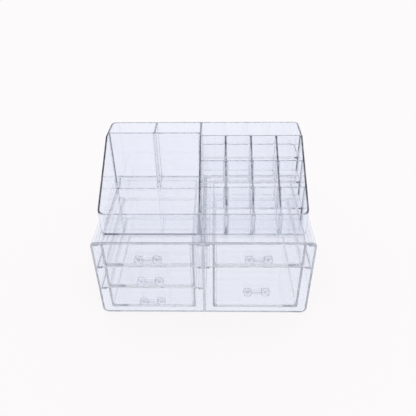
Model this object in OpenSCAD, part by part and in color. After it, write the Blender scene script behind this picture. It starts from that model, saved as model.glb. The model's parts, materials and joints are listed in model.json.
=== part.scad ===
// Clear moulded makeup organizer: a cabinet of hanging drawers with a loose compartment tray on top.
// Millimetres, +Z up. The origin is the centre of the cabinet's flat base. Drawers open towards -Y.

/* [Cabinet] */
// Width of the cabinet
cabinet_w = 238; // [200:1:300]
// Depth of the cabinet, from its open front to the outside of its back wall
cabinet_d = 135; // [110:1:180]
// Thickness of the cabinet's outer walls and back
cabinet_wall = 2.2; // [1.6:0.1:3]
// Thickness of the partition between the two drawer bays
partition_t = 2; // [1.2:0.1:4]
// Radius of the cabinet's four long outer edges
cabinet_edge_r = 6.5; // [3.5:0.5:9]
// Fillet radius where the partition meets the floor and the roof
partition_fillet_r = 1.2; // [0.4:0.2:3]
// Free height between the cabinet's floor and the lowest drawers
floor_gap = 6.7; // [4:0.1:14]
// Free height between the roof and the top drawers
roof_gap = 0.5; // [0.3:0.1:2]

/* [Drawer runners] */
// Free width between each drawer's side and the wall or partition beside it
side_gap = 8.9; // [7:0.1:12]
// Thickness of the runners on the cabinet's walls
runner_t = 1.8; // [1.2:0.1:3]
// Free width between a runner's edge and the drawer's side
runner_side_clearance = 3.4; // [0.6:0.1:4]
// Running clearance between a drawer's flange and its runner
slide_clearance = 0.3; // [0.1:0.05:0.6]
// Distance from the open front back to the runners' front ends
runner_setback = 2.6; // [1:0.2:8]
// Height of the stop that stands on each runner behind the closed drawer's flange
stop_h = 1.8; // [1:0.1:2.4]

/* [Drawers] */
// Height of a small drawer's front
small_front_h = 30.8; // [26:0.1:45]
// Gap between one drawer's front and the next
front_gap = 1.2; // [0.6:0.1:3]
// Thickness of a drawer's front
front_t = 2.2; // [1.6:0.1:4]
// Thickness of a drawer's sides, back and floor
drawer_wall = 1.8; // [1.2:0.1:3]
// Free depth between the closed drawers and the cabinet's back wall
rear_gap = 6; // [2:0.5:20]
// Radius of a drawer's inside corners and floor edges
drawer_inner_r = 3; // [1:0.5:6]
// Radius of the corners of a drawer's front
front_corner_r = 1.8; // [0.4:0.2:3]
// Distance from a front's top edge down to the flange and the rims
flange_drop = 1.3; // [0.6:0.1:4]
// Thickness of the flanges that hang on the runners
flange_t = 1.6; // [1.2:0.1:3]
// Free width between a flange's edge and the wall or partition
flange_wall_clearance = 1.3; // [0.5:0.1:2.5]

/* [Pulls] */
// How far a pull's centre lies below the middle of its drawer's front
pull_drop = 3; // [0:0.2:6]
// Diameter of the two round ends of a pull
lobe_d = 9.6; // [7:0.1:13]
// Distance between the centres of a pull's round ends
lobe_spacing = 20; // [14:0.1:30]
// How far the round ends stand out from the drawer's front
lobe_depth = 7.4; // [5:0.1:14]
// Radius of the rounded rim of a pull's ends
lobe_rim_r = 1.7; // [0.5:0.1:2.5]
// Height of the bar between the round ends
bar_h = 4.6; // [3:0.1:7]
// How far the bar stands out from the drawer's front
bar_depth = 5.6; // [4:0.1:7.4]
// Radius of the bar's front edges
bar_edge_r = 1.2; // [0.4:0.1:1.4]
// Diameter of the two spigots bonded into the drawer's front
spigot_d = 3.2; // [2:0.1:5]
// Gap all round a spigot for the adhesive
spigot_clearance = 0.05; // [0.03:0.01:0.15]

/* [Tray] */
// Width of the tray
tray_w = 218.4; // [190:0.2:232]
// Thickness of the tray's walls and steps
tray_wall = 2; // [1.4:0.1:2.8]
// Thickness of the tray's floor
tray_floor_t = 2; // [1.4:0.1:3]
// Outer radius of the tray's upright corners
tray_corner_r = 6; // [3.5:0.5:9]
// Height of the tray's front wall
tray_front_h = 27.5; // [20:0.1:40]
// How far in front of a cross wall its level top begins
top_lead = 0.6; // [0.4:0.1:1.5]
// Free depth of the cabinet's top in front of the tray
tray_setback = 11.5; // [2:0.1:13]
// Free depth of the long compartment behind the lipstick slots
rear_cell_d = 32.4; // [20:0.1:40]
// Free depth of the two compartments at the left rear
left_rear_cell_d = 25.6; // [15:0.1:60]
// Fillet radius where a tray wall meets another
junction_r = 2.2; // [0.6:0.2:4]

/* [Lipstick slots] */
// Free width of one slot
slot_w = 26; // [20:0.5:27]
// Free depth of one slot from front to back
slot_d = 25.2; // [20:0.1:27]
// Height of each step from one row of slots to the next
row_rise = 16.2; // [10:0.1:19]
// Rows of slots from front to back
slot_rows = 3; // [2:1:3]
// Slots in one row
slot_cols = 4; // [2:1:5]

/* [Hidden] */
$fn = 48;

// a cut runs this far past the face that it opens
overcut = 1;

// cabinet
drawer_rows = 3;
row_pitch = small_front_h + front_gap;
deep_front_h = small_front_h + row_pitch;
bay_w = (cabinet_w - 2 * cabinet_wall - partition_t) / 2;
bay_x = (partition_t + bay_w) / 2;
bay_h = floor_gap + drawer_rows * small_front_h + (drawer_rows - 1) * front_gap + roof_gap;
bay_d = cabinet_d - cabinet_wall;
bay_outer_r = cabinet_edge_r - cabinet_wall;
cabinet_h = bay_h + 2 * cabinet_wall;
cabinet_front_y = -cabinet_d / 2;

// runners and flanges
runner_w = side_gap - runner_side_clearance;
runner_len = bay_d - runner_setback;
runner_top_drop = flange_drop + flange_t + slide_clearance;
flange_w = side_gap - flange_wall_clearance;

// drawers: the flanges end where the rounded rear corners begin, just in front of the stops
drawer_w = bay_w - 2 * side_gap;
drawer_len = bay_d - rear_gap;
drawer_outer_r = drawer_inner_r + drawer_wall;
flange_end = drawer_len - drawer_outer_r;
stop_len = bay_d - flange_end - slide_clearance;
lowest_front_z = cabinet_wall + floor_gap;

// pulls
lobe_x = lobe_spacing / 2;

// tray
slot_pitch = slot_w + tray_wall;
row_depth = slot_d + tray_wall;
slots_w = slot_cols * slot_pitch - tray_wall;
slots_d = slot_rows * row_depth;
tray_d = slots_d + tray_wall + rear_cell_d + tray_wall;
tray_h = tray_front_h + slot_rows * row_rise;
slope_start_y = tray_wall / 2;
slope_end_y = slots_d - top_lead;
slots_x = tray_w / 2 - tray_wall - slots_w;
left_x = -tray_w / 2 + tray_wall;
left_w = slots_x - tray_wall - left_x;
left_rear_y = tray_d - tray_wall - left_rear_cell_d;
left_rear_w = (left_w - tray_wall) / 2;
tray_inner_r = tray_corner_r - tray_wall;

function front_z(row) = lowest_front_z + row * row_pitch;
function pull_z(front_h) = front_h / 2 - pull_drop;
function step_z(row) = row == 0 ? tray_floor_t : max(tray_floor_t, row * row_rise);
function slope_z(y) = tray_front_h
    + (y - slope_start_y) * (tray_h - tray_front_h) / (slope_end_y - slope_start_y);

// Rectangle with one corner at the origin and all four corners rounded.
module round_rect(w, h, r) {
    translate([r, 0]) square([w - 2 * r, h]);
    translate([0, r]) square([w, h - 2 * r]);
    for (x = [r, w - r], y = [r, h - r])
        translate([x, y]) circle(r);
}

// Rectangle with a radius of its own at each corner: [front left, front right, rear left, rear right].
module mixed_rect(w, d, radii) {
    difference() {
        square([w, d]);
        for (i = [0, 1], j = [0, 1]) {
            r = radii[i + 2 * j];
            translate([i * w, j * d])
                mirror([i, 0]) mirror([0, j])
                    difference() {
                        translate([-overcut, -overcut]) square(r + overcut);
                        translate([r, r]) circle(r);
                    }
        }
    }
}

// Hollow to cut out, with rounded upright corners and rounded floor edges. It stands on z = 0.
module tub_hollow(w, d, h, r) {
    translate([r, r, 0]) cube([w - 2 * r, d - 2 * r, h]);
    translate([0, 0, r]) linear_extrude(h - r) round_rect(w, d, r);
    for (y = [r, d - r])
        translate([r, y, r]) rotate([0, 90, 0]) cylinder(r = r, h = w - 2 * r);
    for (x = [r, w - r])
        translate([x, r, r]) rotate([-90, 0, 0]) cylinder(r = r, h = d - 2 * r);
    for (x = [r, w - r], y = [r, d - r])
        translate([x, y, r]) sphere(r);
}

// ---- cabinet ----

// Outline of one bay seen from the front, for the bay on +X: larger radii at the outer wall.
module bay_outline() {
    w = bay_w;
    h = bay_h;
    inner_r = partition_fillet_r;
    outer_r = bay_outer_r;
    translate([inner_r, 0]) square([w - inner_r - outer_r, h]);
    translate([0, inner_r]) square([w / 2, h - 2 * inner_r]);
    translate([w / 2, outer_r]) square([w / 2, h - 2 * outer_r]);
    for (y = [inner_r, h - inner_r])
        translate([inner_r, y]) circle(inner_r);
    for (y = [outer_r, h - outer_r])
        translate([w - outer_r, y]) circle(outer_r);
}

// A runner on a bay's left wall, at height z of its top face, with the stop at its rear end.
module runner(z) {
    translate([0, runner_setback, z - runner_t]) cube([runner_w, runner_len, runner_t]);
    translate([0, bay_d - stop_len, z - runner_t]) cube([runner_w, stop_len, runner_t + stop_h]);
}

// The two runners that carry the drawer whose front's top edge is at top_z, in the bay centred on x.
module runner_pair(x, top_z) {
    translate([x, 0, 0])
        for (side = [0, 1])
            mirror([side, 0, 0])
                translate([-bay_w / 2, 0, 0]) runner(top_z - runner_top_drop);
}

module cabinet_shell() {
    color([0.86, 0.88, 0.95, 0.4])
    translate([0, cabinet_front_y, 0])
    union() {
        difference() {
            translate([-cabinet_w / 2, cabinet_d, 0])
                rotate([90, 0, 0])
                    linear_extrude(cabinet_d) round_rect(cabinet_w, cabinet_h, cabinet_edge_r);
            for (side = [0, 1])
                mirror([side, 0, 0])
                    translate([partition_t / 2, bay_d, cabinet_wall])
                        rotate([90, 0, 0])
                            linear_extrude(bay_d + overcut) bay_outline();
        }
        for (row = [0 : drawer_rows - 1])
            runner_pair(-bay_x, front_z(row) + small_front_h);
        for (row = [1 : drawer_rows - 1])
            runner_pair(bay_x, front_z(row) + small_front_h);
    }
}

// ---- drawers ----

// Plan of a drawer's sides: square corners behind the front, round corners at the rear.
module drawer_plan() {
    body_len = drawer_len - front_t;
    translate([-drawer_w / 2, front_t])
        round_rect(drawer_w, body_len, drawer_outer_r);
    translate([-drawer_w / 2, front_t])
        square([drawer_w, body_len / 2]);
}

// One drawer: x = 0 is its middle, y = 0 its front face and z = 0 its underside.
module drawer(front_h) {
    rim_z = front_h - flange_drop;
    color([0.86, 0.88, 0.95, 0.4])
    difference() {
        union() {
            translate([-drawer_w / 2, front_t, 0])
                rotate([90, 0, 0])
                    linear_extrude(front_t) round_rect(drawer_w, front_h, front_corner_r);
            linear_extrude(rim_z) drawer_plan();
            for (side = [0, 1])
                mirror([side, 0, 0])
                    translate([drawer_w / 2, 0, rim_z - flange_t]) flange();
        }
        translate([-drawer_w / 2 + drawer_wall, front_t, drawer_wall])
            tub_hollow(drawer_w - 2 * drawer_wall, drawer_len - front_t - drawer_wall,
                       front_h + overcut, drawer_inner_r);
        for (x = [-lobe_x, lobe_x])
            translate([x, -overcut, pull_z(front_h)])
                rotate([-90, 0, 0])
                    cylinder(d = spigot_d + 2 * spigot_clearance, h = front_t + 2 * overcut);
    }
}

// Flange along a drawer's +X side: its rear corner is rounded so that it finds its runner.
module flange() {
    lead_r = flange_w / 2;
    translate([-drawer_wall, front_t, 0]) {
        cube([drawer_wall + flange_w, flange_end - front_t - lead_r, flange_t]);
        cube([drawer_wall + flange_w - lead_r, flange_end - front_t, flange_t]);
    }
    translate([flange_w - lead_r, flange_end - lead_r, 0])
        cylinder(r = lead_r, h = flange_t);
}

module placed_in_bay(side, row) {
    translate([side * bay_x, cabinet_front_y, front_z(row)]) children();
}

module left_top_drawer() placed_in_bay(-1, 2) drawer(small_front_h);
module left_middle_drawer() placed_in_bay(-1, 1) drawer(small_front_h);
module left_bottom_drawer() placed_in_bay(-1, 0) drawer(small_front_h);
module right_top_drawer() placed_in_bay(1, 2) drawer(small_front_h);
module right_deep_drawer() placed_in_bay(1, 0) drawer(deep_front_h);

// ---- pulls ----

// One pull: it is centred on x and z, seats on the plane y = 0 and stands out towards -Y.
module pull() {
    color([0.62, 0.66, 0.78, 0.6])
    union() {
        for (x = [-lobe_x, lobe_x])
            translate([x, 0, 0]) {
                rotate([90, 0, 0]) rotate_extrude() lobe_section();
                rotate([-90, 0, 0]) cylinder(d = spigot_d, h = front_t);
            }
        translate([-lobe_x, 0, -bar_h / 2])
            rotate([90, 0, 90])
                linear_extrude(lobe_spacing) bar_section();
    }
}

// Half section of a round end: the axis is x = 0 and the outer rim is rounded.
module lobe_section() {
    r = lobe_d / 2;
    square([r, lobe_depth - lobe_rim_r]);
    square([r - lobe_rim_r, lobe_depth]);
    translate([r - lobe_rim_r, lobe_depth - lobe_rim_r]) circle(lobe_rim_r);
}

// Section of the bar, from its seat at x = 0 out to x = -bar_depth, with rounded front edges.
module bar_section() {
    r = bar_edge_r;
    translate([-bar_depth + r, 0]) square([bar_depth - r, bar_h]);
    translate([-bar_depth, r]) square([bar_depth, bar_h - 2 * r]);
    for (y = [r, bar_h - r])
        translate([-bar_depth + r, y]) circle(r);
}

module left_top_pull() placed_in_bay(-1, 2) translate([0, 0, pull_z(small_front_h)]) pull();
module left_middle_pull() placed_in_bay(-1, 1) translate([0, 0, pull_z(small_front_h)]) pull();
module left_bottom_pull() placed_in_bay(-1, 0) translate([0, 0, pull_z(small_front_h)]) pull();
module right_top_pull() placed_in_bay(1, 2) translate([0, 0, pull_z(small_front_h)]) pull();
module right_deep_pull() placed_in_bay(1, 0) translate([0, 0, pull_z(deep_front_h)]) pull();

// ---- tray ----

// Upright hollow to cut out of the tray, from a floor at z up to a top, open above.
module tray_cell(x, y, z, w, d, top, radii) {
    translate([x, y, z])
        linear_extrude(top - z)
            mixed_rect(w, d, radii);
}

// Side outline of the tray: low front wall, straight slope up the slot rows, level top behind.
module tray_side_outline() {
    polygon([
        [0, 0],
        [tray_d, 0],
        [tray_d, tray_h],
        [slope_end_y, tray_h],
        [slope_start_y, tray_front_h],
        [0, tray_front_h]
    ]);
}

module tray_envelope() {
    intersection() {
        translate([-tray_w / 2, 0, 0])
            linear_extrude(tray_h) round_rect(tray_w, tray_d, tray_corner_r);
        translate([-tray_w / 2, 0, 0])
            rotate([90, 0, 90])
                linear_extrude(tray_w) tray_side_outline();
    }
}

// The slots, each row one step higher than the row in front of it.
module slot_cells() {
    for (row = [0 : slot_rows - 1], col = [0 : slot_cols - 1]) {
        at_corner = row == 0 && col == slot_cols - 1;
        tray_cell(slots_x + col * slot_pitch, tray_wall + row * row_depth, step_z(row),
                  slot_w, slot_d, tray_h + overcut,
                  [junction_r, at_corner ? tray_inner_r : junction_r, junction_r, junction_r]);
    }
}

// The moulded steps are a shell: each is open underneath, from its riser to the back wall.
module step_hollows() {
    for (row = [1 : slot_rows]) {
        y = tray_wall + row * row_depth;
        tray_cell(slots_x, y, -overcut, slots_w, tray_d - tray_wall - y,
                  step_z(row) - tray_floor_t, [junction_r, junction_r, junction_r, tray_inner_r]);
    }
}

// The long compartment on the top step, behind the slots.
module right_rear_cell() {
    tray_cell(slots_x, tray_d - tray_wall - rear_cell_d, step_z(slot_rows), slots_w, rear_cell_d,
              tray_h + overcut, [junction_r, junction_r, junction_r, tray_inner_r]);
}

// The wide open compartment in front and the two upright ones behind it.
module left_cells() {
    tray_cell(left_x, tray_wall, tray_floor_t, left_w, left_rear_y - 2 * tray_wall,
              tray_h + overcut, [tray_inner_r, junction_r, junction_r, junction_r]);
    for (col = [0, 1])
        tray_cell(left_x + col * (left_rear_w + tray_wall), left_rear_y, tray_floor_t,
                  left_rear_w, left_rear_cell_d, tray_h + overcut,
                  [junction_r, junction_r, col == 0 ? tray_inner_r : junction_r, junction_r]);
}

// The cross walls have level tops, although the side walls and the dividers slope.
module level_tops() {
    cut_d = top_lead + tray_wall + junction_r + 2 * overcut;
    translate([left_x + tray_inner_r, -top_lead - overcut, tray_front_h])
        cube([left_w - tray_inner_r, cut_d, tray_h]);
    for (row = [0 : slot_rows - 1], col = [0 : slot_cols - 1]) {
        at_corner = row == 0 && col == slot_cols - 1;
        lead_y = row * row_depth - top_lead;
        translate([slots_x + col * slot_pitch, lead_y - overcut,
                   row == 0 ? tray_front_h : slope_z(lead_y)])
            cube([slot_w - (at_corner ? tray_inner_r : 0), cut_d, tray_h]);
    }
}

module upper_tray() {
    color([0.84, 0.86, 0.94, 0.4])
    translate([0, cabinet_front_y + tray_setback, cabinet_h])
    difference() {
        tray_envelope();
        slot_cells();
        step_hollows();
        right_rear_cell();
        left_cells();
        level_tops();
    }
}

cabinet_shell();
left_top_drawer();
left_middle_drawer();
left_bottom_drawer();
right_top_drawer();
right_deep_drawer();
left_top_pull();
left_middle_pull();
left_bottom_pull();
right_top_pull();
right_deep_pull();
upper_tray();
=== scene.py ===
import json
import math
import bmesh
import bpy
from mathutils import Matrix, Vector


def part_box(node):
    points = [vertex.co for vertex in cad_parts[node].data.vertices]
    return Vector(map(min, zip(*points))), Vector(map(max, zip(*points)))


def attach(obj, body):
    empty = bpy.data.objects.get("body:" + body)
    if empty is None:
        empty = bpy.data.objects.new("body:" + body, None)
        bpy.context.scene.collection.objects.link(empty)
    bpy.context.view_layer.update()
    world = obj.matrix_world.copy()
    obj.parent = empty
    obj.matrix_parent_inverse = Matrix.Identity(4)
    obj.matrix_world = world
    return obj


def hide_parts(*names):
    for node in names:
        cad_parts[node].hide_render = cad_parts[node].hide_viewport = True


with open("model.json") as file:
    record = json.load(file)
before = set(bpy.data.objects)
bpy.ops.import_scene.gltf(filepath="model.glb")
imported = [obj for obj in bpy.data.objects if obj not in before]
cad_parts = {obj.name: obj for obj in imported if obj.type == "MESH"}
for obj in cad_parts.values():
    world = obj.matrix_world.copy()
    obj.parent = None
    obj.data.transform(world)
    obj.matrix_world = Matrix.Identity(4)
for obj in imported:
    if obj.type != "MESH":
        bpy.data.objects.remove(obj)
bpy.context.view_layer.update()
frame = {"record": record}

# ---------------------------------------------------------------- cabinet
# The lower case is one injection moulding in clear polystyrene, with its
# roof, floor, back, two sides, centre partition and drawer runners in one
# piece. Its rims are flame polished, so every sharp corner is slightly round.
RIM_RADIUS = 0.00035
RIM_STEPS = 2
RIM_MARK = 1
MERGE_REACH = 2e-6
FLAT_ANGLE = math.radians(0.3)
SHARP_ANGLE = math.radians(35)
SLIVER_AREA = 1e-6
SLIVER_CORNERS = 6
CUSP_ANGLE = math.radians(15)
CUSP_REACH = 0.002
WEDGE_ANGLE = math.radians(45)
BLEND_COSINE = math.cos(math.radians(50))
MM2_PER_M2 = 1e6
CABINET_TINT = (0.988, 0.991, 0.999, 1.0)
CABINET_FLOW_TINT = (0.978, 0.982, 0.996, 1.0)
CABINET_DEPTH_COLOUR = (0.66, 0.675, 0.72, 1.0)
CABINET_DENSITY = 9.0
# Painted shade: dark grey dashes painted along the case's rims, in place of the dark edge
# lines of bent light.
CABINET_RIM_PAINTED_SHADE = (0.45, 0.46, 0.49, 1.0)
CABINET_RIM_SHADE_GAP = 0.42
CABINET_RIM_SHADE_DASHES = 110.0
CABINET_HAZE = 0.03
CABINET_RIM_HAZE = 0.02
CABINET_RIPPLE_HEIGHT = 0.00003

scene = bpy.context.scene
body_of = {}
for body, members in frame["record"]["behaviour"]["bodies"].items():
    for member in members:
        body_of[member] = body


# Wide flats pull the narrow polished rims beside them into line, so that a
# flat wall of clear plastic stays flat to the eye right up to its rim.
def keep_flats_flat(mesh):
    around = [[] for corner in mesh.vertices]
    for face in mesh.polygons:
        for corner in face.vertices:
            around[corner].append(face)
    normals = [None] * len(mesh.loops)
    for face in mesh.polygons:
        for step, corner in enumerate(face.vertices):
            blended = Vector()
            for near in around[corner]:
                if near.normal.dot(face.normal) > BLEND_COSINE:
                    blended += near.normal * (near.area * MM2_PER_M2) ** 2
            normals[face.loop_start + step] = blended.normalized()
    mesh.normals_split_custom_set(normals)


# Where a flat runs out to a fine point beside a curve, the rounding dies
# away towards the point, as the flat gets narrower than the rounding.
def fade_into_cusp(corner, tangent, rounding):
    tip = corner.vert.co
    along = (tangent.other_vert(corner.vert).co - tip).normalized()
    for edge in corner.face.edges:
        middle = (edge.verts[0].co + edge.verts[1].co) / 2 - tip
        if edge == tangent or middle.length < CUSP_REACH:
            away = middle - along * middle.dot(along)
            edge[rounding] = min(edge[rounding], away.length / RIM_RADIUS)


# Merges a moulding's loose faces, rounds its sharp corners, and marks the
# rounded rims. It takes the place of the solid and moves with its body.
def polished_moulding(node, piece_name, settle=None, is_land=None):
    mesh = bpy.data.objects[node].data.copy()
    work = bmesh.new()
    work.from_mesh(mesh)
    bmesh.ops.remove_doubles(work, verts=work.verts, dist=MERGE_REACH)
    bmesh.ops.dissolve_limit(
        work, angle_limit=FLAT_ANGLE, verts=work.verts, edges=work.edges)
    if settle:
        settle(work)
    rounding = work.edges.layers.float.new("bevel_weight_edge")
    creased = {edge for edge in work.edges if edge.calc_face_angle(0.0) > SHARP_ANGLE}
    for edge in creased:
        sliver = any(face.calc_area() < SLIVER_AREA and len(face.verts) > SLIVER_CORNERS
                     for face in edge.link_faces)
        edge[rounding] = 0.0 if sliver else 1.0
    for face in work.faces:
        for corner in face.loops:
            sides = (corner.edge, corner.link_loop_prev.edge)
            if corner.calc_angle() < CUSP_ANGLE and creased.issuperset(sides):
                tangent = max(sides, key=lambda edge: edge.calc_length())
                fade_into_cusp(corner, tangent, rounding)
            elif corner.calc_angle() < WEDGE_ANGLE:
                for edge in sides:
                    if not edge.is_convex:
                        edge[rounding] = 0.0
    work.to_mesh(mesh)
    work.free()
    mesh.materials.clear()
    mesh.materials.append(None)
    mesh.materials.append(None)
    for face in mesh.polygons:
        face.use_smooth = True
        face.material_index = 0
    draft = bpy.data.objects.new(piece_name + "_draft", mesh)
    scene.collection.objects.link(draft)
    rim = draft.modifiers.new("polished rims", "BEVEL")
    rim.width = RIM_RADIUS
    rim.segments = RIM_STEPS
    rim.limit_method = "WEIGHT"
    rim.use_clamp_overlap = False
    rim.material = RIM_MARK
    seen = draft.evaluated_get(bpy.context.evaluated_depsgraph_get())
    finished = bpy.data.meshes.new_from_object(seen)
    bpy.data.objects.remove(draft)
    finished.name = piece_name
    low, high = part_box(node)
    for corner in finished.vertices:
        corner.co = [min(max(corner.co[i], low[i]), high[i]) for i in range(3)]
    keep_flats_flat(finished)
    on_rim = [float(face.material_index) for face in finished.polygons]
    if is_land:
        for face in finished.polygons:
            if is_land(face):
                on_rim[face.index] = 1.0
    mark = finished.attributes.new("rim", "FLOAT", "FACE")
    mark.data.foreach_set("value", on_rim)
    finished.polygons.foreach_set("material_index", [0] * len(on_rim))
    finished.materials.clear()
    piece = bpy.data.objects.new(piece_name, finished)
    scene.collection.objects.link(piece)
    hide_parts(node)
    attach(piece, body_of[node])
    return piece


# What all the clear styrene shares: the melt's uneven flow, a slow ripple
# from the mould, hair scratches that lie two ways, and painted shade on the
# rims: broken dashes of dark grey that stand in for the dark edge lines of
# light bent in the plastic.
STYRENE_IOR = 1.59
FLOW_SCALE = 30.0
FLOW_DETAIL = 2.0
SHADE_DASH_DETAIL = 1.0
SHADE_DASH_FADE = 0.12
SCUFF_LAYS = ((0.35, (60.0, 1900.0, 1900.0)), (1.15, (1900.0, 60.0, 1900.0)))
SCUFF_TILT = (1.0, 0.6, 0.8)
SCUFF_DETAIL = 1.0
SCUFF_START = 0.68
SCUFF_FULL = 0.78
SCUFF_HAZE = 0.05
SCUFF_DEPTH = 0.02
RIPPLE_SCALE = 90.0


def link(tree, source, target):
    tree.links.new(source, target)


def moulded_surface_and_rim_shade_group():
    group = bpy.data.node_groups.new("moulded surface and painted rim shade", "ShaderNodeTree")
    for label, kind in (("Tint", "NodeSocketColor"),
                        ("Flow Tint", "NodeSocketColor"),
                        ("Rim Painted Shade", "NodeSocketColor"),
                        ("Rim Shade Dashes", "NodeSocketFloat"),
                        ("Rim Shade Gap", "NodeSocketFloat"),
                        ("Flow Scale", "NodeSocketFloat"),
                        ("Ripple Scale", "NodeSocketFloat"),
                        ("Haze", "NodeSocketFloat"),
                        ("Scuff Haze", "NodeSocketFloat"),
                        ("Rim Haze", "NodeSocketFloat"),
                        ("Scuff Depth", "NodeSocketFloat")):
        group.interface.new_socket(label, in_out="INPUT", socket_type=kind)
    for label, kind in (("Color", "NodeSocketColor"),
                        ("Roughness", "NodeSocketFloat"),
                        ("Height", "NodeSocketFloat")):
        group.interface.new_socket(label, in_out="OUTPUT", socket_type=kind)
    made = group.nodes
    given = made.new("NodeGroupInput")
    out = made.new("NodeGroupOutput")
    place = made.new("ShaderNodeTexCoord")

    flow = made.new("ShaderNodeTexNoise")
    flow.inputs["Detail"].default_value = FLOW_DETAIL
    link(group, place.outputs["Object"], flow.inputs["Vector"])
    link(group, given.outputs["Flow Scale"], flow.inputs["Scale"])
    tint = made.new("ShaderNodeMix")
    tint.data_type = "RGBA"
    link(group, flow.outputs["Fac"], tint.inputs["Factor"])
    link(group, given.outputs["Tint"], tint.inputs["A"])
    link(group, given.outputs["Flow Tint"], tint.inputs["B"])

    # Painted shade: rim faces are mixed towards a dark grey in broken dashes, in place of
    # the dark edge lines that bent light draws.
    rim = made.new("ShaderNodeAttribute")
    rim.attribute_name = "rim"
    shade_dash_noise = made.new("ShaderNodeTexNoise")
    shade_dash_noise.inputs["Detail"].default_value = SHADE_DASH_DETAIL
    link(group, place.outputs["Object"], shade_dash_noise.inputs["Vector"])
    link(group, given.outputs["Rim Shade Dashes"], shade_dash_noise.inputs["Scale"])
    past_gap = made.new("ShaderNodeMath")
    past_gap.operation = "SUBTRACT"
    link(group, shade_dash_noise.outputs["Fac"], past_gap.inputs[0])
    link(group, given.outputs["Rim Shade Gap"], past_gap.inputs[1])
    shade_dash_mask = made.new("ShaderNodeMapRange")
    shade_dash_mask.inputs["From Max"].default_value = SHADE_DASH_FADE
    link(group, past_gap.outputs["Value"], shade_dash_mask.inputs["Value"])
    on_rim = made.new("ShaderNodeMath")
    on_rim.operation = "MULTIPLY"
    link(group, shade_dash_mask.outputs["Result"], on_rim.inputs[0])
    link(group, rim.outputs["Fac"], on_rim.inputs[1])
    rim_painted_shade = made.new("ShaderNodeMix")
    rim_painted_shade.data_type = "RGBA"
    link(group, on_rim.outputs["Value"], rim_painted_shade.inputs["Factor"])
    link(group, tint.outputs["Result"], rim_painted_shade.inputs["A"])
    link(group, given.outputs["Rim Painted Shade"], rim_painted_shade.inputs["B"])
    link(group, rim_painted_shade.outputs["Result"], out.inputs["Color"])

    scuffs = None
    for turn, stretch in SCUFF_LAYS:
        lay = made.new("ShaderNodeMapping")
        lay.inputs["Rotation"].default_value = [turn * share for share in SCUFF_TILT]
        lay.inputs["Scale"].default_value = stretch
        link(group, place.outputs["Object"], lay.inputs["Vector"])
        hair = made.new("ShaderNodeTexNoise")
        hair.inputs["Scale"].default_value = 1.0
        hair.inputs["Detail"].default_value = SCUFF_DETAIL
        link(group, lay.outputs["Vector"], hair.inputs["Vector"])
        keep = made.new("ShaderNodeMapRange")
        keep.inputs["From Min"].default_value = SCUFF_START
        keep.inputs["From Max"].default_value = SCUFF_FULL
        link(group, hair.outputs["Fac"], keep.inputs["Value"])
        if scuffs is None:
            scuffs = keep.outputs["Result"]
        else:
            both = made.new("ShaderNodeMath")
            both.operation = "MAXIMUM"
            link(group, scuffs, both.inputs[0])
            link(group, keep.outputs["Result"], both.inputs[1])
            scuffs = both.outputs["Value"]

    total = given.outputs["Haze"]
    for amount, mask in (("Scuff Haze", scuffs), ("Rim Haze", rim.outputs["Fac"])):
        part = made.new("ShaderNodeMath")
        part.operation = "MULTIPLY_ADD"
        link(group, mask, part.inputs[0])
        link(group, given.outputs[amount], part.inputs[1])
        link(group, total, part.inputs[2])
        total = part.outputs["Value"]
    link(group, total, out.inputs["Roughness"])

    ripple = made.new("ShaderNodeTexNoise")
    ripple.inputs["Detail"].default_value = 0.0
    link(group, place.outputs["Object"], ripple.inputs["Vector"])
    link(group, given.outputs["Ripple Scale"], ripple.inputs["Scale"])
    cut = made.new("ShaderNodeMath")
    cut.operation = "MULTIPLY"
    link(group, scuffs, cut.inputs[0])
    link(group, given.outputs["Scuff Depth"], cut.inputs[1])
    height = made.new("ShaderNodeMath")
    height.operation = "SUBTRACT"
    link(group, ripple.outputs["Fac"], height.inputs[0])
    link(group, cut.outputs["Value"], height.inputs[1])
    link(group, height.outputs["Value"], out.inputs["Height"])
    return group


surface_group = moulded_surface_and_rim_shade_group()


def clear_plastic(name, tint, flow_tint, depth_colour, density, rim_painted_shade, rim_shade_gap,
                  rim_shade_dashes, haze, rim_haze, ripple_height):
    material = bpy.data.materials.new(name)
    material.use_nodes = True
    tree = material.node_tree
    shader = tree.nodes["Principled BSDF"]
    shader.inputs["Metallic"].default_value = 0.0
    shader.inputs["IOR"].default_value = STYRENE_IOR
    shader.inputs["Transmission Weight"].default_value = 1.0
    surface = tree.nodes.new("ShaderNodeGroup")
    surface.node_tree = surface_group
    surface.inputs["Tint"].default_value = tint
    surface.inputs["Flow Tint"].default_value = flow_tint
    # The rim colour, gap and dashes paint dark shade along the rims.
    surface.inputs["Rim Painted Shade"].default_value = rim_painted_shade
    surface.inputs["Rim Shade Gap"].default_value = rim_shade_gap
    surface.inputs["Rim Shade Dashes"].default_value = rim_shade_dashes
    surface.inputs["Flow Scale"].default_value = FLOW_SCALE
    surface.inputs["Ripple Scale"].default_value = RIPPLE_SCALE
    surface.inputs["Haze"].default_value = haze
    surface.inputs["Scuff Haze"].default_value = SCUFF_HAZE
    surface.inputs["Rim Haze"].default_value = rim_haze
    surface.inputs["Scuff Depth"].default_value = SCUFF_DEPTH
    relief = tree.nodes.new("ShaderNodeBump")
    relief.inputs["Distance"].default_value = ripple_height
    relief.inputs["Strength"].default_value = 1.0
    depth = tree.nodes.new("ShaderNodeVolumeAbsorption")
    depth.inputs["Color"].default_value = depth_colour
    depth.inputs["Density"].default_value = density
    link(tree, surface.outputs["Color"], shader.inputs["Base Color"])
    link(tree, surface.outputs["Roughness"], shader.inputs["Roughness"])
    link(tree, surface.outputs["Height"], relief.inputs["Height"])
    link(tree, relief.outputs["Normal"], shader.inputs["Normal"])
    link(tree, depth.outputs["Volume"], tree.nodes["Material Output"].inputs["Volume"])
    return material


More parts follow.
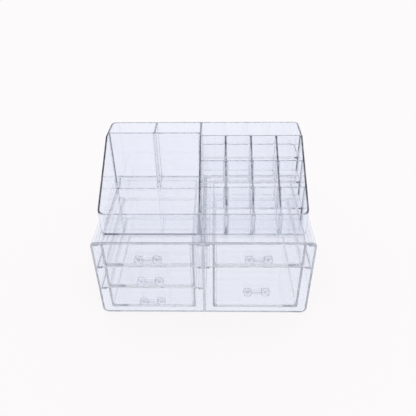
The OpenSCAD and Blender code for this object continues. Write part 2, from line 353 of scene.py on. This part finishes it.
cabinet = polished_moulding("cabinet_shell", "cabinet_moulding")
cabinet.data.materials.append(clear_plastic(
    "clear cabinet styrene", CABINET_TINT, CABINET_FLOW_TINT,
    CABINET_DEPTH_COLOUR, CABINET_DENSITY, CABINET_RIM_PAINTED_SHADE, CABINET_RIM_SHADE_GAP,
    CABINET_RIM_SHADE_DASHES, CABINET_HAZE, CABINET_RIM_HAZE, CABINET_RIPPLE_HEIGHT))

# ---------------------------------------------------------------- drawers
# Five open tubs moulded in the same clear styrene, thinner than the case.
# Four are shallow and one is deep. Each has a turned-out flange on its two
# long rims that slides on the runners inside the case.
DRAWER_TINT = (0.992, 0.994, 0.999, 1.0)
DRAWER_FLOW_TINT = (0.984, 0.988, 0.997, 1.0)
DRAWER_DEPTH_COLOUR = (0.70, 0.715, 0.76, 1.0)
DRAWER_DENSITY = 5.5
# Painted shade: dark grey dashes painted along the drawers' rims, in place of the dark
# edge lines of bent light.
DRAWER_RIM_PAINTED_SHADE = (0.42, 0.43, 0.46, 1.0)
DRAWER_RIM_SHADE_GAP = 0.42
DRAWER_RIM_SHADE_DASHES = 110.0
DRAWER_HAZE = 0.035
DRAWER_RIM_HAZE = 0.02
DRAWER_RIPPLE_HEIGHT = 0.00002
DRAWERS = ("left_top_drawer", "left_middle_drawer", "left_bottom_drawer",
           "right_top_drawer", "right_deep_drawer")

drawer_plastic = clear_plastic(
    "clear drawer styrene", DRAWER_TINT, DRAWER_FLOW_TINT,
    DRAWER_DEPTH_COLOUR, DRAWER_DENSITY, DRAWER_RIM_PAINTED_SHADE, DRAWER_RIM_SHADE_GAP,
    DRAWER_RIM_SHADE_DASHES, DRAWER_HAZE, DRAWER_RIM_HAZE, DRAWER_RIPPLE_HEIGHT)
for drawer_node in DRAWERS:
    drawer = polished_moulding(drawer_node, drawer_node + "_moulding")
    drawer.data.materials.append(drawer_plastic)

# ---------------------------------------------------------------- pulls
# Each drawer has one small clear pull, two round lobes joined by a flat bar.
# It is moulded apart and its two short pins are bonded into blind holes in
# the drawer front, so its back lies flat against that front.
PULL_TINT = (0.96, 0.965, 0.985, 1.0)
PULL_FLOW_TINT = (0.965, 0.972, 0.992, 1.0)
PULL_DEPTH_COLOUR = (0.70, 0.72, 0.80, 1.0)
PULL_DENSITY = 12.0
# Painted shade: dark grey dashes painted along the pulls' rims, in place of the dark
# outlines of bent light.
PULL_RIM_PAINTED_SHADE = (0.30, 0.31, 0.34, 1.0)
PULL_RIM_SHADE_GAP = 0.3
PULL_RIM_SHADE_DASHES = 110.0
PULL_HAZE = 0.01
PULL_RIM_HAZE = 0.02
PULL_RIPPLE_HEIGHT = 0.00004
# Painted shade: the grey that is painted onto the pulls' sides where they turn away from
# the view.
PULL_SIDE_PAINTED_SHADE = (0.30, 0.31, 0.34, 1.0)
PULL_SIDE_START = 0.30
PULL_SIDE_FULL = 0.80
GLUE_LINE = 0.00004
SAME_PLANE = 1e-6


# The film of glue keeps the back of a pull just off the drawer front.
def lift_off_front(work):
    front_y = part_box("left_top_drawer")[0][1]
    for corner in work.verts:
        if abs(corner.co.y - front_y) < SAME_PLANE:
            corner.co.y -= GLUE_LINE


# Painted shade: the round sides of so thick and small a moulding are painted greyer where
# they turn away from the view.
def paint_shade_on_turned_sides(material):
    tree = material.node_tree
    base = tree.nodes["Principled BSDF"].inputs["Base Color"]
    face_on = base.links[0].from_socket
    turned = tree.nodes.new("ShaderNodeLayerWeight")
    steep = tree.nodes.new("ShaderNodeMapRange")
    steep.inputs["From Min"].default_value = PULL_SIDE_START
    steep.inputs["From Max"].default_value = PULL_SIDE_FULL
    link(tree, turned.outputs["Facing"], steep.inputs["Value"])
    shade = tree.nodes.new("ShaderNodeMix")
    shade.data_type = "RGBA"
    shade.inputs["B"].default_value = PULL_SIDE_PAINTED_SHADE
    link(tree, steep.outputs["Result"], shade.inputs["Factor"])
    link(tree, face_on, shade.inputs["A"])
    link(tree, shade.outputs["Result"], base)


pull_plastic = clear_plastic(
    "clear pull styrene", PULL_TINT, PULL_FLOW_TINT,
    PULL_DEPTH_COLOUR, PULL_DENSITY, PULL_RIM_PAINTED_SHADE, PULL_RIM_SHADE_GAP,
    PULL_RIM_SHADE_DASHES, PULL_HAZE, PULL_RIM_HAZE, PULL_RIPPLE_HEIGHT)
paint_shade_on_turned_sides(pull_plastic)
for drawer_node in DRAWERS:
    pull_node = drawer_node.replace("_drawer", "_pull")
    pull = polished_moulding(pull_node, pull_node + "_moulding", lift_off_front)
    pull.data.materials.append(pull_plastic)

# ---------------------------------------------------------------- tray
# The top tray is a separate clear moulding that stands loose on the roof of
# the case. It has a low front wall, sloped side walls, two tall cells behind
# an open one on the left, and twelve stepped lipstick slots on the right.
TRAY_TINT = (0.981, 0.985, 0.996, 1.0)
TRAY_FLOW_TINT = (0.968, 0.973, 0.991, 1.0)
TRAY_DEPTH_COLOUR = (0.60, 0.615, 0.67, 1.0)
TRAY_DENSITY = 19.0
# Painted shade: dark grey dashes painted along the tray's rims and divider tops, in place
# of the dark edge lines of bent light.
TRAY_RIM_PAINTED_SHADE = (0.26, 0.265, 0.28, 1.0)
TRAY_RIM_SHADE_GAP = 0.48
TRAY_RIM_SHADE_DASHES = 230.0
TRAY_HAZE = 0.01
TRAY_RIM_HAZE = 0.04
TRAY_RIPPLE_HEIGHT = 0.00004
LAND_LEAST_RISE = 0.75
LAND_MOST_RISE = 0.93
LAND_MOST_SIDEWAYS = 0.05
STANDING_GAP = 0.00015


# The base touches the roof only here and there, so it stands a hair above it.
def stand_clear(work):
    base_z = min(corner.co.z for corner in work.verts)
    for corner in work.verts:
        if corner.co.z - base_z < SAME_PLANE:
            corner.co.z += STANDING_GAP


# The sloping tops of the dividers are polished as the rims are, and take the same painted
# dark rim shade.
def is_sloping_top(face):
    rising = LAND_LEAST_RISE < face.normal.z < LAND_MOST_RISE
    return rising and abs(face.normal.x) < LAND_MOST_SIDEWAYS


tray = polished_moulding("upper_tray", "upper_tray_moulding", stand_clear, is_sloping_top)
tray.data.materials.append(clear_plastic(
    "clear tray styrene", TRAY_TINT, TRAY_FLOW_TINT,
    TRAY_DEPTH_COLOUR, TRAY_DENSITY, TRAY_RIM_PAINTED_SHADE, TRAY_RIM_SHADE_GAP,
    TRAY_RIM_SHADE_DASHES, TRAY_HAZE, TRAY_RIM_HAZE, TRAY_RIPPLE_HEIGHT))

# ---------------------------------------------------------------- table
# A matt white table top lies under the organizer, much wider than the view,
# in a plain pale room. Only what is mirrored twice inside the plastic sees
# the room as dim near the table and bright above, which greys the edges.
TABLE_HALF = 6.0
TABLE_Z = -0.0002
TABLE_WHITE = (0.95, 0.95, 0.95, 1.0)
TABLE_ROUGHNESS = 0.9
TABLE_SEEN = (0.982, 0.962, 0.972, 1.0)
TABLE_THROUGH = (0.905, 0.925, 1.0, 1.0)
SEEN_SHARE = 0.9
ROOM_LOW = (0.05, 0.055, 0.07, 1.0)
ROOM_HIGH = (0.99, 1.0, 1.04, 1.0)
ROOM_HIGH_AT = 0.35
ROOM_SEEN = (0.974, 0.955, 0.965, 1.0)
MORE_THAN_ONE_MIRRORING = 1.5

corners = [(-TABLE_HALF, -TABLE_HALF, TABLE_Z), (TABLE_HALF, -TABLE_HALF, TABLE_Z),
           (TABLE_HALF, TABLE_HALF, TABLE_Z), (-TABLE_HALF, TABLE_HALF, TABLE_Z)]
table_mesh = bpy.data.meshes.new("table_top")
table_mesh.from_pydata(corners, [], [(0, 1, 2, 3)])
table = bpy.data.objects.new("table_top", table_mesh)
scene.collection.objects.link(table)

table_white = bpy.data.materials.new("white table")
table_white.use_nodes = True
tree = table_white.node_tree
matt = tree.nodes["Principled BSDF"]
matt.inputs["Base Color"].default_value = TABLE_WHITE
matt.inputs["Roughness"].default_value = TABLE_ROUGHNESS
matt.inputs["Specular IOR Level"].default_value = 0.0
path = tree.nodes.new("ShaderNodeLightPath")
seen_colour = tree.nodes.new("ShaderNodeMix")
seen_colour.data_type = "RGBA"
seen_colour.inputs["A"].default_value = TABLE_THROUGH
seen_colour.inputs["B"].default_value = TABLE_SEEN
glow = tree.nodes.new("ShaderNodeEmission")
link(tree, path.outputs["Is Camera Ray"], seen_colour.inputs["Factor"])
link(tree, seen_colour.outputs["Result"], glow.inputs["Color"])
any_view = path.outputs["Is Camera Ray"]
for other in ("Is Glossy Ray", "Is Transmission Ray"):
    larger = tree.nodes.new("ShaderNodeMath")
    larger.operation = "MAXIMUM"
    link(tree, any_view, larger.inputs[0])
    link(tree, path.outputs[other], larger.inputs[1])
    any_view = larger.outputs["Value"]
share = tree.nodes.new("ShaderNodeMath")
share.operation = "MULTIPLY"
share.inputs[1].default_value = SEEN_SHARE
link(tree, any_view, share.inputs[0])
blend = tree.nodes.new("ShaderNodeMixShader")
link(tree, share.outputs["Value"], blend.inputs["Fac"])
link(tree, matt.outputs["BSDF"], blend.inputs[1])
link(tree, glow.outputs["Emission"], blend.inputs[2])
link(tree, blend.outputs["Shader"], tree.nodes["Material Output"].inputs["Surface"])
table.data.materials.append(table_white)

room = bpy.data.worlds.new("soft room")
room.use_nodes = True
tree = room.node_tree
sky = tree.nodes["Background"]
place = tree.nodes.new("ShaderNodeTexCoord")
axes = tree.nodes.new("ShaderNodeSeparateXYZ")
rise = tree.nodes.new("ShaderNodeValToRGB")
rise.color_ramp.elements[0].position = 0.0
rise.color_ramp.elements[0].color = ROOM_LOW
rise.color_ramp.elements[1].position = ROOM_HIGH_AT
rise.color_ramp.elements[1].color = ROOM_HIGH
link(tree, place.outputs["Generated"], axes.inputs["Vector"])
link(tree, axes.outputs["Z"], rise.inputs["Fac"])
path = tree.nodes.new("ShaderNodeLightPath")
mirrored = tree.nodes.new("ShaderNodeMath")
mirrored.operation = "GREATER_THAN"
mirrored.inputs[1].default_value = MORE_THAN_ONE_MIRRORING
link(tree, path.outputs["Glossy Depth"], mirrored.inputs[0])
seen_room = tree.nodes.new("ShaderNodeMix")
seen_room.data_type = "RGBA"
seen_room.inputs["A"].default_value = ROOM_SEEN
link(tree, mirrored.outputs["Value"], seen_room.inputs["Factor"])
link(tree, rise.outputs["Color"], seen_room.inputs["B"])
link(tree, seen_room.outputs["Result"], sky.inputs["Color"])
scene.world = room

# ---------------------------------------------------------------- camera
# A standing view from a little right of centre, looking down at about 35
# degrees. Light crosses many sheets of clear plastic, so its paths are long.
PITCH = 0.6194
YAW = 0.0220
ROLL = -0.0123
FOCAL_PIXELS = 445.14
PICTURE_PIXELS = 416
EYE = (0.013507, -0.423234, 0.404196)
SENSOR_WIDTH_MM = 36.0
NEAREST_SEEN = 0.01
CLEAR_BOUNCES = 100
MATT_BOUNCES = 4

turn = Matrix.Rotation(YAW, 3, "Z")
ahead = turn @ Vector((0.0, math.cos(PITCH), -math.sin(PITCH)))
up = turn @ Vector((0.0, math.sin(PITCH), math.cos(PITCH)))
right = turn @ Vector((1.0, 0.0, 0.0))
side_axis = right * math.cos(ROLL) + up * math.sin(ROLL)
top_axis = up * math.cos(ROLL) - right * math.sin(ROLL)
lens = bpy.data.cameras.new("camera")
lens.sensor_width = SENSOR_WIDTH_MM
lens.lens = FOCAL_PIXELS / PICTURE_PIXELS * SENSOR_WIDTH_MM
lens.clip_start = NEAREST_SEEN
camera = bpy.data.objects.new("camera", lens)
pose = Matrix((side_axis, top_axis, -ahead)).transposed().to_4x4()
pose.translation = Vector(EYE)
camera.matrix_world = pose
scene.collection.objects.link(camera)
scene.camera = camera

scene.view_settings.view_transform = "Standard"
scene.cycles.max_bounces = CLEAR_BOUNCES
scene.cycles.transmission_bounces = CLEAR_BOUNCES
scene.cycles.glossy_bounces = CLEAR_BOUNCES
scene.cycles.diffuse_bounces = MATT_BOUNCES
